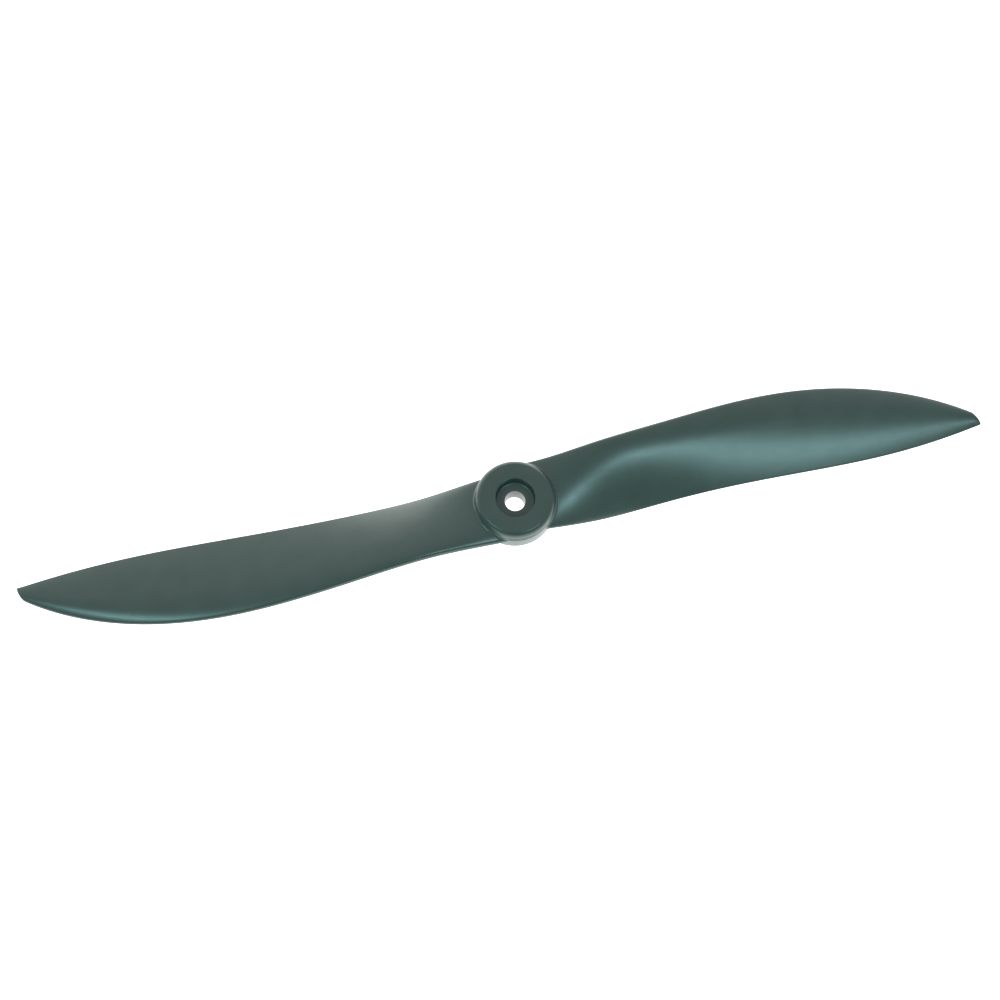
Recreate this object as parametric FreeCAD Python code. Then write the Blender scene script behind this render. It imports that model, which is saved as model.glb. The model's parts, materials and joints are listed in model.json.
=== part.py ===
"""Two-blade fixed propeller for a radio-controlled motor glider: one hub and two blades.

The real propeller is a single moulding. It is drawn here as its three regions, the hub and the two
blades, which meet face to face on the hub's wall. Millimetres; +Z is the flight direction (the front
of the propeller) and +X lies along blade A. The origin is on the shaft axis, on the hub's back face,
which is the face that seats on the motor's drive washer. Seen from the front it turns anticlockwise.
"""
import FreeCAD, Part
import math
import os

# Driving dimensions
DIAMETER = 254.0            # 10 inch
PITCH = 127.0               # 5 inch of advance per turn
HUB_DIAMETER = 21.2         # at the back
HUB_THICKNESS = 8.6
SHAFT_BORE = 5.3            # a 5 mm shaft with clearance
COUNTERBORE = 10.0          # opens on the front face, for a nut or an adapter ring
COUNTERBORE_DEPTH = 3.0

# Hub details
SHOULDER_DIAMETER = 20.8    # the wall draws in to this, where the front bevel begins
BEVEL_HEIGHT = 2.4          # of the front bevel, along the axis
FRONT_FACE_DIAMETER = 18.0
BACK_EDGE_CHAMFER = 0.2
RIM_CHAMFER = 0.2           # at the mouth of the counterbore

# Blade details
TIP_RADIUS = DIAMETER / 2
WASHOUT_RADIUS = 0.18 * TIP_RADIUS   # the pitch fades out towards the hub over this distance
WASHOUT_POWER = 2.8
CAMBER_PEAK = 0.35          # where the camber line is highest, as a fraction of the chord
EDGE_THICKNESS = 0.6        # of the leading and trailing edges
EDGE_SHARE = 0.9            # the edges take up at most this share of a thin section's thickness
ROOT_FULLNESS_END = 0.36    # out to here the section still has some of the hub end's oval shape
POINTS_PER_SECTION = 36

# Shape of the blade, as fractions of the tip radius: the poles of Bezier curves, evenly spaced along
# the radius from the shaft axis to the tip. The edges are measured ahead of the X axis, in the
# direction of rotation, and behind it. The middle of the chord is measured down from the front face.
LEADING_EDGE = [0.078, 0.080, 0.091, 0.121, 0.164, 0.131, 0.114, 0.012]
TRAILING_EDGE = [0.066, 0.063, 0.039, 0.017, 0.058, 0.039, 0.009]
THICKNESS = [0.038, 0.041, 0.022, 0.018, 0.009]
CAMBER = [0.000, 0.006, -0.002, 0.010, 0.022, 0.003]
MID_DEPTH = [0.0315, 0.0655, 0.0075, 0.0485, 0.0495, 0.0435]
TIP_CAP_START = 0.985       # from here the leading edge curves in to meet the trailing edge

# Sections, as fractions of the tip radius
INBOARD_SPANS = [0.01, 0.04] + [0.08 + 0.05 * i for i in range(18)]
TIP_SPANS = [0.950, 0.970, 0.985, 0.991, 0.996, 0.999, 0.9999]


def bezier(poles, span):
    """Value of a Bezier curve by repeated interpolation between its poles."""
    while len(poles) > 1:
        poles = [a + (b - a) * span for a, b in zip(poles, poles[1:])]
    return poles[0]


def blade_angle(radius):
    """Angle of the chord to the plane of rotation: a true helix outboard, eased off near the hub."""
    share = 1 - math.exp(-((radius / WASHOUT_RADIUS) ** WASHOUT_POWER))
    return math.atan(PITCH * share / (2 * math.pi * radius))


def camber_line(along):
    """Height of the four-digit NACA camber line at a fraction along the chord, peaking at one."""
    if along < CAMBER_PEAK:
        return (2 * CAMBER_PEAK * along - along**2) / CAMBER_PEAK**2
    return (1 - 2 * CAMBER_PEAK + 2 * CAMBER_PEAK * along - along**2) / (1 - CAMBER_PEAK) ** 2


def section_half_thickness(along, chord, thickness, fullness):
    """Half the section's thickness at a fraction along the chord from the leading edge.

    The airfoil is the four-digit NACA thickness form with a closed trailing edge, peaking at one.
    """
    airfoil = (2.969 * math.sqrt(along) - 1.26 * along - 3.516 * along**2
               + 2.843 * along**3 - 1.036 * along**4)
    oval = 2 * math.sqrt(along * (1 - along))
    body = fullness * oval + (1 - fullness) * airfoil
    nose = min(EDGE_THICKNESS, EDGE_SHARE * thickness) / 2
    depth = min(along * chord, (1 - along) * chord, nose)
    rounded_edge = math.sqrt(nose**2 - (nose - depth) ** 2)
    return (thickness / 2 - nose) * body + rounded_edge


def blade_section(span):
    """Closed smooth wire of one section, in the plane X = radius."""
    radius = span * TIP_RADIUS
    into_cap = max(0.0, (span - TIP_CAP_START) / (1 - TIP_CAP_START))
    rounding = math.sqrt(1 - into_cap**2)
    behind = bezier(TRAILING_EDGE, span) * TIP_RADIUS
    width = (bezier(LEADING_EDGE, span) * TIP_RADIUS + behind) * rounding
    thickness = bezier(THICKNESS, span) * TIP_RADIUS * rounding
    camber = bezier(CAMBER, span) * TIP_RADIUS * rounding
    angle = blade_angle(radius)
    chord = width / math.cos(angle)
    middle = width / 2 - behind
    height = HUB_THICKNESS - bezier(MID_DEPTH, span) * TIP_RADIUS
    fullness = max(0.0, 1 - span / ROOT_FULLNESS_END)
    points = []
    for i in range(POINTS_PER_SECTION):
        turn = 2 * math.pi * i / POINTS_PER_SECTION
        along = (1 - math.cos(turn)) / 2
        half = section_half_thickness(along, chord, thickness, fullness)
        rise = camber * camber_line(along) + math.copysign(half, math.sin(turn))
        forward = (0.5 - along) * chord
        y = middle + forward * math.cos(angle) - rise * math.sin(angle)
        z = height + forward * math.sin(angle) + rise * math.cos(angle)
        points.append(FreeCAD.Vector(radius, y, z))
    outline = Part.BSplineCurve()
    outline.interpolate(Points=points, PeriodicFlag=True)
    return Part.Wire([outline.toShape()])


def at(radius, height):
    """A point of the hub's profile."""
    return FreeCAD.Vector(radius, 0, height)


def turned(corners):
    """The solid that a closed profile sweeps about the shaft axis."""
    profile = Part.makePolygon(corners + corners[:1])
    return Part.Face(profile).revolve(at(0, 0), FreeCAD.Vector(0, 0, 1), 360)


# The hub's outside, from the edge of the back face up to the edge of the front face
HUB_OUTSIDE = [
    at(HUB_DIAMETER / 2 - BACK_EDGE_CHAMFER, 0),
    at(HUB_DIAMETER / 2, BACK_EDGE_CHAMFER),
    at(SHOULDER_DIAMETER / 2, HUB_THICKNESS - BEVEL_HEIGHT),
    at(FRONT_FACE_DIAMETER / 2, HUB_THICKNESS),
]


def hub_blank():
    """The hub before its counterbore and bore are opened."""
    return turned(HUB_OUTSIDE + [at(0, HUB_THICKNESS), at(0, 0)])


def hub_body():
    """The hub with its counterbore and bore."""
    bore = SHAFT_BORE / 2
    recess = COUNTERBORE / 2
    floor = HUB_THICKNESS - COUNTERBORE_DEPTH
    inside = [
        at(recess + RIM_CHAMFER, HUB_THICKNESS),
        at(recess, HUB_THICKNESS - RIM_CHAMFER),
        at(recess, floor),
        at(bore, floor),
        at(bore, 0),
    ]
    return turned(HUB_OUTSIDE + inside)


def blade():
    """Blade A, from the hub's wall out to the tip."""
    sections = [blade_section(span) for span in INBOARD_SPANS + TIP_SPANS]
    whole = Part.makeLoft(sections, True, False)
    pieces = whole.cut(hub_blank()).Solids
    return max(pieces, key=lambda solid: solid.Volume)


def save(name, shape):
    shape.exportStep("parts/" + name + ".step")
    box = shape.optimalBoundingBox()
    print(name, "volume %.0f" % shape.Volume, "valid", shape.isValid(), "solids", len(shape.Solids))
    print("   x %.2f to %.2f, y %.2f to %.2f, z %.2f to %.2f"
          % (box.XMin, box.XMax, box.YMin, box.YMax, box.ZMin, box.ZMax))


os.makedirs("parts", exist_ok=True)
blade_a = blade()
blade_b = blade_a.copy()
blade_b.rotate(FreeCAD.Vector(0, 0, 0), FreeCAD.Vector(0, 0, 1), 180)
save("hub", hub_body())
save("blade_a", blade_a)
save("blade_b", blade_b)
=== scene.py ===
"""Looks of the two-blade propeller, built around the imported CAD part.

Shapes are worked out in millimetres, in the same frame as the CAD: +Z is the front of the propeller,
+X lies along blade A and the origin is on the shaft axis, on the hub's back face. A mesh is scaled to
metres when it is made. The hub and the two blades each stand for the CAD node of the same name.
"""
import json
import math

import bpy
import numpy as np
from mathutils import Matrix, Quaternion, Vector


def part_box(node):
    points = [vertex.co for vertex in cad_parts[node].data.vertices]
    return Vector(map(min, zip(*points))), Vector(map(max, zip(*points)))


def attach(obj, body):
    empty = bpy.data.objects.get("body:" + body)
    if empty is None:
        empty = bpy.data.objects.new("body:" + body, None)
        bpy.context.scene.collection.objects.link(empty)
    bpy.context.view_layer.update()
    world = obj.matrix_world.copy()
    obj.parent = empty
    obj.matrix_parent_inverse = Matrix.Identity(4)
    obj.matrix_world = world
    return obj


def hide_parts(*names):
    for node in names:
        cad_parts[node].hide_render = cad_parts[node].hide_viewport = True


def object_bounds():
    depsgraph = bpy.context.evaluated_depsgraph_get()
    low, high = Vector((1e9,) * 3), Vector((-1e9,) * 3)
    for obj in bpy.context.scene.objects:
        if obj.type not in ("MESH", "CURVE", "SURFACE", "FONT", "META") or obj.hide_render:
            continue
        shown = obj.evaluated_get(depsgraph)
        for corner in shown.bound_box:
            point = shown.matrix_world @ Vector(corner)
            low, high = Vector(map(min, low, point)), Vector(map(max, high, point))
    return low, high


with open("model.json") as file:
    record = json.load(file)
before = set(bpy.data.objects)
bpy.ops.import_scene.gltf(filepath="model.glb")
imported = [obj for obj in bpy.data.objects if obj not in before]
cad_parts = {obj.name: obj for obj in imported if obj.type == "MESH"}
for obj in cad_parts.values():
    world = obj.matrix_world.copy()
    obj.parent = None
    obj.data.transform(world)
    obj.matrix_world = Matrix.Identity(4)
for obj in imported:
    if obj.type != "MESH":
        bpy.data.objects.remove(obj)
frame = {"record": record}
cad_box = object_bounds()

MM = 0.001
MATERIAL_SLOT = "moulded_nylon"

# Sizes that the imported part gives
mounts = {mount["name"]: mount["dims"] for mount in frame["record"]["mounts"]}
hub_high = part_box("hub")[1] / MM
TIP_RADIUS = round(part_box("blade_a")[1].x / MM, 1)
HUB_RADIUS = round(hub_high.x, 2)
HUB_THICKNESS = round(hub_high.z, 2)
BORE_RADIUS = mounts["shaft_bore"]["r_mm"]
COUNTERBORE_RADIUS = mounts["counterbore"]["r_mm"]
COUNTERBORE_FLOOR = mounts["shaft_bore"]["length_mm"]

# The hub's outside, as in the CAD
SHOULDER_RADIUS = 10.4
SHOULDER_HEIGHT = HUB_THICKNESS - 2.4
FACE_RADIUS = 9.0
BACK_EDGE_CHAMFER = 0.2
RIM_CHAMFER = 0.2

# The blade, as in the CAD: Bezier poles along the radius, as fractions of the tip radius
PITCH = 127.0
WASHOUT_RADIUS = 0.18 * TIP_RADIUS
WASHOUT_POWER = 2.8
CAMBER_PEAK = 0.35
EDGE_THICKNESS = 0.6
EDGE_SHARE = 0.9
ROOT_FULLNESS_END = 0.36
LEADING_EDGE = [0.078, 0.080, 0.091, 0.121, 0.164, 0.131, 0.114, 0.012]
TRAILING_EDGE = [0.066, 0.063, 0.039, 0.017, 0.058, 0.039, 0.009]
THICKNESS = [0.038, 0.041, 0.022, 0.018, 0.009]
CAMBER = [0.000, 0.006, -0.002, 0.010, 0.022, 0.003]
MID_DEPTH = [0.0315, 0.0655, 0.0075, 0.0485, 0.0495, 0.0435]
TIP_CAP_START = 0.985
WIDTH_EASE = 0.9995         # keeps the mesh just inside the CAD blade

# The fillet between the blade and the hub's wall, which only the visual model has
ROOT_FILLET = 1.0
FILLET_SHARE = 0.8          # it takes up at most this share of the way down to the hub's back face
EMBEDDED = 0.25             # how far the blade's inner end is sunk into the hub

# The hub's front bevel bulges out to a well rounded crown
CROWN_RADIUS = 10.1
CROWN_DEPTH = 0.8           # below the front face
CROWN_ROUNDING = 0.75

# The parting line at the hub's shoulder: a lip that stands out, and a shallow groove just below it
LIP = 0.08
LIP_HEIGHT = 0.3
LIP_OVERHANG = 0.05
LIP_SLOPE = 0.15            # height over which the crown runs down to the lip
GROOVE = 0.2
GROOVE_HEIGHT = 0.55
GROOVE_SLOPE = 0.2          # height over which the wall runs into the groove

# Roundings of the hub's edges
FACE_ROUNDING = 0.25        # at the outer edge of the front face
FLOOR_ROUNDING = 0.8        # where the counterbore's wall meets its floor
BORE_ROUNDING = 0.08
LIP_ROUNDING = 0.1
EDGE_ROUNDING = 0.12        # of the other edges

# Fineness of the meshes
POINTS_PER_SECTION = 96
FILLET_STEPS = 8
RINGS_ALONG_BLADE = 150
RING_CROWDING = 1.25        # above 1 the rings lie closer together near the hub
SETTLING_RINGS = 30         # the first rings, which turn from the fillet's edge into plain sections
TIP_RINGS = 13
TIP_END = 0.993             # how far through the tip cap the mesh is closed off
HUB_STEPS = 192
ROUNDING_STEPS = 5


# ---------------------------------------------------------------- blade surface

def bezier(poles, span):
    """Value of a Bezier curve by repeated interpolation between its poles."""
    poles = [pole + 0 * span for pole in poles]
    while len(poles) > 1:
        poles = [a + (b - a) * span for a, b in zip(poles, poles[1:])]
    return poles[0]


def blade_surface(span, turn):
    """Points of blade A's surface.

    The span runs from 0 on the shaft axis to 1 at the tip. The turn runs round the section, from the
    leading edge at 0, over the front of the blade to the trailing edge at pi, and back behind it.
    """
    span, turn = np.broadcast_arrays(span, turn)
    radius = span * TIP_RADIUS
    into_cap = np.clip((span - TIP_CAP_START) / (1 - TIP_CAP_START), 0, 1)
    rounding = np.sqrt(1 - into_cap**2)
    behind = bezier(TRAILING_EDGE, span) * TIP_RADIUS
    width = (bezier(LEADING_EDGE, span) * TIP_RADIUS + behind) * rounding * WIDTH_EASE
    thickness = bezier(THICKNESS, span) * TIP_RADIUS * rounding
    camber = bezier(CAMBER, span) * TIP_RADIUS * rounding
    share = 1 - np.exp(-((radius / WASHOUT_RADIUS) ** WASHOUT_POWER))
    angle = np.arctan(PITCH * share / (2 * math.pi * radius))
    chord = width / np.cos(angle)
    middle = width / 2 - behind
    height = HUB_THICKNESS - bezier(MID_DEPTH, span) * TIP_RADIUS
    fullness = np.clip(1 - span / ROOT_FULLNESS_END, 0, 1)

    along = (1 - np.cos(turn)) / 2
    to_peak = 2 * CAMBER_PEAK * along - along**2
    camber_line = np.where(along < CAMBER_PEAK, to_peak / CAMBER_PEAK**2,
                           (1 - 2 * CAMBER_PEAK + to_peak) / (1 - CAMBER_PEAK) ** 2)
    airfoil = (2.969 * np.sqrt(along) - 1.26 * along - 3.516 * along**2
               + 2.843 * along**3 - 1.036 * along**4)
    oval = 2 * np.sqrt(np.clip(along * (1 - along), 0, 1))
    nose = np.minimum(EDGE_THICKNESS, EDGE_SHARE * thickness) / 2
    depth = np.minimum(np.minimum(along, 1 - along) * chord, nose)
    rounded_edge = np.sqrt(np.clip(nose**2 - (nose - depth) ** 2, 0, None))
    body = fullness * oval + (1 - fullness) * airfoil
    half = (thickness / 2 - nose) * body + rounded_edge
    rise = camber * camber_line + np.copysign(half, np.sin(turn))
    forward = (0.5 - along) * chord
    y = middle + forward * np.cos(angle) - rise * np.sin(angle)
    z = height + forward * np.sin(angle) + rise * np.cos(angle)
    return np.stack([radius, y, z], axis=-1)


def unit(vectors):
    return vectors / np.linalg.norm(vectors, axis=-1, keepdims=True)


def dot(a, b):
    return np.sum(a * b, axis=-1, keepdims=True)


# ---------------------------------------------------------------- hub surface

def hub_radius(height):
    """Radius of the hub's outside at a height."""
    heights = [0, BACK_EDGE_CHAMFER, SHOULDER_HEIGHT, HUB_THICKNESS - CROWN_DEPTH, HUB_THICKNESS]
    radii = [HUB_RADIUS - BACK_EDGE_CHAMFER, HUB_RADIUS, SHOULDER_RADIUS, CROWN_RADIUS, FACE_RADIUS]
    return np.interp(height, heights, radii)


def onto_hub(points):
    """The points moved straight in or out onto the hub's outside."""
    flat = points[..., :2]
    radial = flat / np.linalg.norm(flat, axis=-1, keepdims=True)
    moved = points.copy()
    moved[..., :2] = radial * hub_radius(points[..., 2])[..., None]
    return moved


def hub_normal(points):
    """Outward normal of the hub's outside."""
    step = 0.05
    z = points[..., 2]
    slope = (hub_radius(z + step) - hub_radius(z - step)) / (2 * step)
    radial = unit(points * np.array([1, 1, 0]))
    return unit(radial - slope[..., None] * np.array([0, 0, 1]))


# ---------------------------------------------------------------- where they meet

def surface_directions(span, turn):
    """How the blade's surface runs along the span and round the section, and its outward normal."""
    step = 1e-4
    lengthwise = (blade_surface(span + step, turn) - blade_surface(span - step, turn)) / (2 * step)
    around = (blade_surface(span, turn + step) - blade_surface(span, turn - step)) / (2 * step)
    return lengthwise, around, unit(np.cross(around, lengthwise))


def meeting_span(turn):
    """Span at which each lengthwise line of the blade comes out of the hub.

    It is found by bisection, between a span well inside the hub and one well outside it.
    """
    inside = np.full_like(turn, 0.05 * HUB_RADIUS / TIP_RADIUS)
    outside = np.full_like(turn, 1.7 * HUB_RADIUS / TIP_RADIUS)
    for _ in range(40):
        middle = (inside + outside) / 2
        points = blade_surface(middle, turn)
        within = np.linalg.norm(points[:, :2], axis=-1) < hub_radius(points[:, 2])
        inside = np.where(within, middle, inside)
        outside = np.where(within, outside, middle)
    return inside


def root_rings(turn):
    """Rings of the fillet from inside the hub out to the blade, and the last one's span and turn.

    At each point of the seam a ball of the fillet's radius touches both surfaces. A cubic curve stands
    in for its arc, and leaves each surface along its tangent. Where the seam runs close above the hub's
    back face, the ball is smaller, so that the fillet stays on the hub's wall.
    """
    span = meeting_span(turn)
    seam = blade_surface(span, turn)
    lengthwise, around, blade_out = surface_directions(span, turn)
    hub_out = hub_normal(seam)
    seam_line = unit(np.cross(blade_out, hub_out))
    up_blade = np.cross(seam_line, blade_out)
    up_blade *= np.sign(dot(up_blade, hub_out))
    up_hub = np.cross(seam_line, hub_out)
    up_hub *= np.sign(dot(up_hub, blade_out))
    bend = np.arccos(np.clip(dot(blade_out, hub_out), -1, 1))

    full_reach = ROOT_FILLET * np.tan(bend / 2)
    reach_to_back = seam[:, 2:] / np.abs(up_hub[:, 2:])
    reach = np.where(up_hub[:, 2:] < 0, np.minimum(full_reach, FILLET_SHARE * reach_to_back),
                     full_reach)
    radius = reach / np.tan(bend / 2)
    handle = 4 / 3 * np.tan(bend / 4) * radius

    target = up_blade * reach
    step = np.array([np.linalg.lstsq(np.stack([a, b], axis=1), c, rcond=None)[0]
                     for a, b, c in zip(lengthwise, around, target)])
    blade_span, blade_turn = span + step[:, 0], turn + step[:, 1]
    on_blade = blade_surface(blade_span, blade_turn)
    on_hub = onto_hub(seam + up_hub * reach)

    normal_there = surface_directions(blade_span, blade_turn)[2]
    along_blade = unit(up_blade - normal_there * dot(up_blade, normal_there))
    normal_there = hub_normal(on_hub)
    along_hub = unit(up_hub - normal_there * dot(up_hub, normal_there))
    controls = [on_hub, on_hub - along_hub * handle, on_blade - along_blade * handle, on_blade]

    rings = [on_hub - normal_there * EMBEDDED]
    for u in np.linspace(0, 1, FILLET_STEPS + 1):
        weights = [(1 - u) ** 3, 3 * u * (1 - u) ** 2, 3 * u**2 * (1 - u), u**3]
        rings.append(sum(w * c for w, c in zip(weights, controls)))
    return rings, blade_span, blade_turn


def blade_rings():
    """All the rings of blade A's mesh, from the embedded end to the tip."""
    turn = np.arange(POINTS_PER_SECTION) * 2 * math.pi / POINTS_PER_SECTION
    rings, start_span, start_turn = root_rings(turn)
    for i in range(1, RINGS_ALONG_BLADE + 1):
        outward = (i / RINGS_ALONG_BLADE) ** RING_CROWDING
        settling = min(1.0, i / SETTLING_RINGS)
        settled = settling**2 * (3 - 2 * settling)
        span = start_span + (TIP_CAP_START - start_span) * outward
        rings.append(blade_surface(span, start_turn + (turn - start_turn) * settled))
    for i in range(1, TIP_RINGS + 1):
        into_cap = math.sin(math.asin(TIP_END) * i / TIP_RINGS)
        span = TIP_CAP_START + (1 - TIP_CAP_START) * into_cap
        rings.append(blade_surface(span, turn))
    return rings


# ---------------------------------------------------------------- meshes

def add_object(name, data):
    """A new object in the scene."""
    item = bpy.data.objects.new(name, data)
    bpy.context.scene.collection.objects.link(item)
    return item


def mesh_piece(name, points, faces):
    """A smooth-shaded object from points in millimetres."""
    mesh = bpy.data.meshes.new(name)
    mesh.from_pydata([tuple(p) for p in np.asarray(points) * MM], [], faces)
    mesh.update()
    mesh.shade_smooth()
    return add_object(name, mesh)


def tube_faces(ring_count, ring_size):
    """Quads between rings of equal size, and a face that closes each end."""
    faces = []
    for i in range(ring_count - 1):
        for j in range(ring_size):
            k = (j + 1) % ring_size
            faces.append((i * ring_size + j, i * ring_size + k,
                          (i + 1) * ring_size + k, (i + 1) * ring_size + j))
    last = (ring_count - 1) * ring_size
    faces.append(tuple(reversed(range(ring_size))))
    faces.append(tuple(range(last, last + ring_size)))
    return faces


def make_blade(name, side):
    """A blade along +X where the side is 1, and half a turn round the shaft from it where it is -1."""
    rings = blade_rings()
    points = np.concatenate(rings) * np.array([side, side, 1])
    return mesh_piece(name, points, tube_faces(len(rings), POINTS_PER_SECTION))


def rounded(corners):
    """A closed profile from (radius, height, rounding) corners, each cut back and rounded by that much."""
    profile = []
    for i, (radius, height, rounding) in enumerate(corners):
        here = np.array([radius, height])
        before = np.array(corners[i - 1][:2])
        after = np.array(corners[(i + 1) % len(corners)][:2])
        start = here + (before - here) / np.linalg.norm(before - here) * rounding
        end = here + (after - here) / np.linalg.norm(after - here) * rounding
        for u in np.linspace(0, 1, ROUNDING_STEPS + 1):
            profile.append((1 - u) ** 2 * start + 2 * u * (1 - u) * here + u**2 * end)
    return profile


def turned(name, profile):
    """The object that a closed profile of radii and heights sweeps about the shaft axis."""
    size = len(profile)
    points = []
    faces = []
    for i in range(HUB_STEPS):
        angle = 2 * math.pi * i / HUB_STEPS
        points += [(r * math.cos(angle), r * math.sin(angle), z) for r, z in profile]
        here = i * size
        onward = (i + 1) % HUB_STEPS * size
        for j in range(size):
            k = (j + 1) % size
            faces.append((here + j, onward + j, onward + k, here + k))
    return mesh_piece(name, points, faces)


def make_hub():
    """The hub, from the bore's back edge round its outside, over the front and down the counterbore."""
    lip_radius = SHOULDER_RADIUS + LIP
    lip_foot = SHOULDER_HEIGHT - LIP_HEIGHT
    groove_radius = SHOULDER_RADIUS - GROOVE
    groove_top = lip_foot - LIP_OVERHANG
    groove_foot = groove_top - GROOVE_HEIGHT
    return turned("hub_shell", rounded([
        (BORE_RADIUS, 0.0, BORE_ROUNDING),
        (HUB_RADIUS - BACK_EDGE_CHAMFER, 0.0, EDGE_ROUNDING),
        (HUB_RADIUS, BACK_EDGE_CHAMFER, EDGE_ROUNDING),
        (SHOULDER_RADIUS + 0.02, groove_foot - GROOVE_SLOPE, LIP_ROUNDING),
        (groove_radius, groove_foot, LIP_ROUNDING),
        (groove_radius, groove_top, LIP_ROUNDING / 2),
        (lip_radius, lip_foot, LIP_ROUNDING / 2),
        (lip_radius, SHOULDER_HEIGHT, LIP_ROUNDING),
        (SHOULDER_RADIUS - 0.03, SHOULDER_HEIGHT + LIP_SLOPE, LIP_ROUNDING),
        (CROWN_RADIUS, HUB_THICKNESS - CROWN_DEPTH, CROWN_ROUNDING),
        (FACE_RADIUS + 0.1, HUB_THICKNESS, FACE_ROUNDING),
        (COUNTERBORE_RADIUS + RIM_CHAMFER, HUB_THICKNESS, EDGE_ROUNDING),
        (COUNTERBORE_RADIUS, HUB_THICKNESS - RIM_CHAMFER, EDGE_ROUNDING),
        (COUNTERBORE_RADIUS, COUNTERBORE_FLOOR, FLOOR_ROUNDING),
        (BORE_RADIUS, COUNTERBORE_FLOOR, EDGE_ROUNDING),
    ]))


# ---------------------------------------------------------------- material

DARK_NYLON = (0.030, 0.056, 0.048, 1)
PALE_NYLON = (0.036, 0.065, 0.056, 1)
SMOOTHEST, ROUGHEST = 0.26, 0.33


def nylon():
    """Satin glass-filled nylon: dark green-grey, faintly mottled, with a fine moulded grain.

    The scales of the noises are in features per metre, and the depths of the bumps in metres.
    """
    material = bpy.data.materials.new(MATERIAL_SLOT)
    material.use_nodes = True
    nodes = material.node_tree.nodes
    links = material.node_tree.links
    shader = nodes["Principled BSDF"]
    shader.inputs["IOR"].default_value = 1.5
    where = nodes.new("ShaderNodeTexCoord")

    def noise(scale, detail):
        node = nodes.new("ShaderNodeTexNoise")
        node.inputs["Scale"].default_value = scale
        node.inputs["Detail"].default_value = detail
        links.new(where.outputs["Object"], node.inputs["Vector"])
        return node.outputs["Fac"]

    def ramp(source, low, high):
        node = nodes.new("ShaderNodeValToRGB")
        first, last = node.color_ramp.elements
        first.position = 0.3
        first.color = low
        last.position = 0.7
        last.color = high
        links.new(source, node.inputs["Fac"])
        return node.outputs["Color"]

    def remap(source, low, high):
        node = nodes.new("ShaderNodeMapRange")
        node.inputs["To Min"].default_value = low
        node.inputs["To Max"].default_value = high
        links.new(source, node.inputs["Value"])
        return node.outputs["Result"]

    def bump(source, strength, depth):
        node = nodes.new("ShaderNodeBump")
        node.inputs["Strength"].default_value = strength
        node.inputs["Distance"].default_value = depth
        links.new(source, node.inputs["Height"])
        return node

    mottle = noise(160, 3)
    links.new(ramp(mottle, DARK_NYLON, PALE_NYLON), shader.inputs["Base Color"])
    sheen_patches = noise(700, 3)
    links.new(remap(sheen_patches, SMOOTHEST, ROUGHEST), shader.inputs["Roughness"])
    ripple = bump(noise(420, 2), 0.15, 0.00006)
    grain = bump(noise(4200, 2), 0.25, 0.00001)
    links.new(ripple.outputs["Normal"], grain.inputs["Normal"])
    links.new(grain.outputs["Normal"], shader.inputs["Normal"])
    return material


# ---------------------------------------------------------------- studio, in metres

FLOOR_HALF_SIZE = 3.0
FLOOR_GAP = 0.0001          # between the floor and the lowest point of the propeller
LIGHT_DISTANCE = 1.0
DIMMEST_SIDE, BRIGHTEST_SIDE = 0.15, 1.15

CAMERA_AZIMUTH = -14.99
CAMERA_ELEVATION = 73.24
CAMERA_ROLL = 4.27
CAMERA_DISTANCE = 275.8 * MM
CAMERA_LENS = 38.51
CAMERA_TARGET = Vector((-3.68, 1.245, HUB_THICKNESS - 4)) * MM


def make_floor():
    """A white table, bright enough to burn out as in product pictures."""
    half = FLOOR_HALF_SIZE
    height = cad_box[0].z - FLOOR_GAP
    corners = [(-half, -half), (half, -half), (half, half), (-half, half)]
    mesh = bpy.data.meshes.new("floor")
    mesh.from_pydata([(x, y, height) for x, y in corners], [], [(0, 1, 2, 3)])
    paper = bpy.data.materials.new("white_table")
    paper.use_nodes = True
    shader = paper.node_tree.nodes["Principled BSDF"]
    shader.inputs["Base Color"].default_value = (0.85, 0.85, 0.84, 1)
    shader.inputs["Roughness"].default_value = 0.9
    shader.inputs["Emission Color"].default_value = (1, 0.99, 0.96, 1)
    shader.inputs["Emission Strength"].default_value = 1.5
    mesh.materials.append(paper)
    add_object("floor", mesh)


def direction(azimuth, elevation):
    """Unit vector from the propeller. Azimuth 0 is on the side of -Y and 90 degrees on that of +X."""
    a, e = math.radians(azimuth), math.radians(elevation)
    return Vector((math.sin(a) * math.cos(e), -math.cos(a) * math.cos(e), math.sin(e)))


def aim(item, target, towards, distance, roll=0.0):
    """Place a light or a camera at a distance from the target, looking back at it."""
    item.location = target + towards * distance
    item.rotation_mode = "QUATERNION"
    facing = (-towards).to_track_quat("-Z", "Y")
    item.rotation_quaternion = facing @ Quaternion((0, 0, 1), math.radians(roll))


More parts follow.
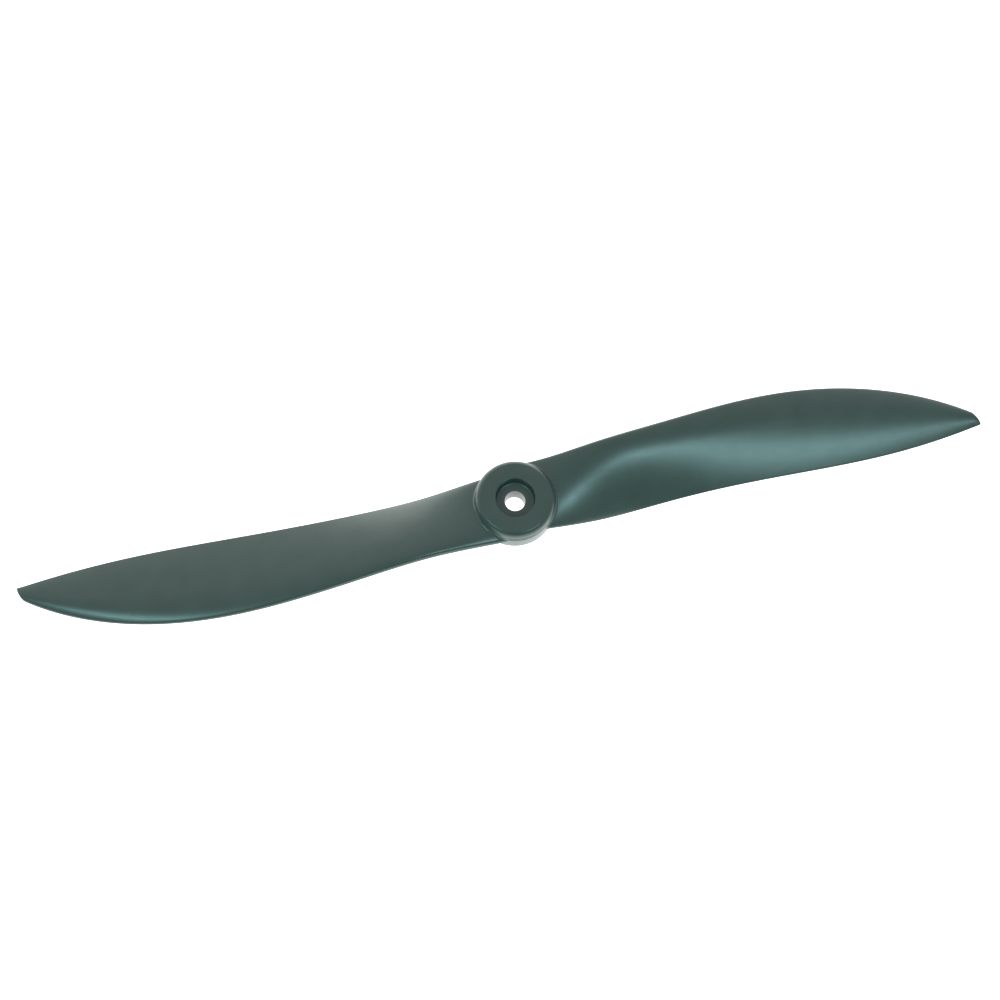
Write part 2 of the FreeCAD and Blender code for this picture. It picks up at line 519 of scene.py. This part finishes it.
def make_softbox(name, azimuth, elevation, size, power, colour):
    light = bpy.data.lights.new(name, "AREA")
    light.shape = "RECTANGLE"
    light.size, light.size_y = size
    light.energy = power
    light.color = colour
    aim(add_object(name, light), Vector((0, 0, 0)), direction(azimuth, elevation), LIGHT_DISTANCE)


def make_world():
    """A pale room that is brightest on the far side (+Y) and dim on the camera's side."""
    world = bpy.data.worlds.new("studio")
    world.use_nodes = True
    nodes = world.node_tree.nodes
    links = world.node_tree.links
    background = nodes["Background"]
    background.inputs["Color"].default_value = (1, 1, 1, 1)
    where = nodes.new("ShaderNodeTexCoord")
    split = nodes.new("ShaderNodeSeparateXYZ")
    towards_far_side = nodes.new("ShaderNodeMapRange")
    towards_far_side.inputs["From Min"].default_value = -1.0
    towards_far_side.inputs["From Max"].default_value = 1.0
    towards_far_side.inputs["To Min"].default_value = DIMMEST_SIDE
    towards_far_side.inputs["To Max"].default_value = BRIGHTEST_SIDE
    links.new(where.outputs["Generated"], split.inputs["Vector"])
    links.new(split.outputs["Y"], towards_far_side.inputs["Value"])
    links.new(towards_far_side.outputs["Result"], background.inputs["Strength"])
    bpy.context.scene.world = world


def make_camera():
    """A camera that looks steeply down on the front of the propeller."""
    camera = add_object("camera", bpy.data.cameras.new("camera"))
    camera.data.sensor_width = 36
    camera.data.lens = CAMERA_LENS
    camera.data.clip_start = 0.01
    aim(camera, CAMERA_TARGET, direction(CAMERA_AZIMUTH, CAMERA_ELEVATION), CAMERA_DISTANCE, CAMERA_ROLL)
    bpy.context.scene.camera = camera


# ---------------------------------------------------------------- the scene

finish = nylon()
pieces = {
    "hub": make_hub(),
    "blade_a": make_blade("blade_a_shell", 1),
    "blade_b": make_blade("blade_b_shell", -1),
}
for node, piece in pieces.items():
    piece.data.materials.append(finish)
    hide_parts(node)
    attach(piece, "root")

make_floor()
make_world()
make_softbox("key", azimuth=35, elevation=49, size=(0.40, 0.12), power=2.5, colour=(0.55, 0.96, 1.0))
make_softbox("fill", azimuth=-60, elevation=50, size=(0.35, 0.16), power=2.3, colour=(0.5, 0.96, 1.0))
make_camera()
bpy.context.scene.view_settings.view_transform = "Standard"
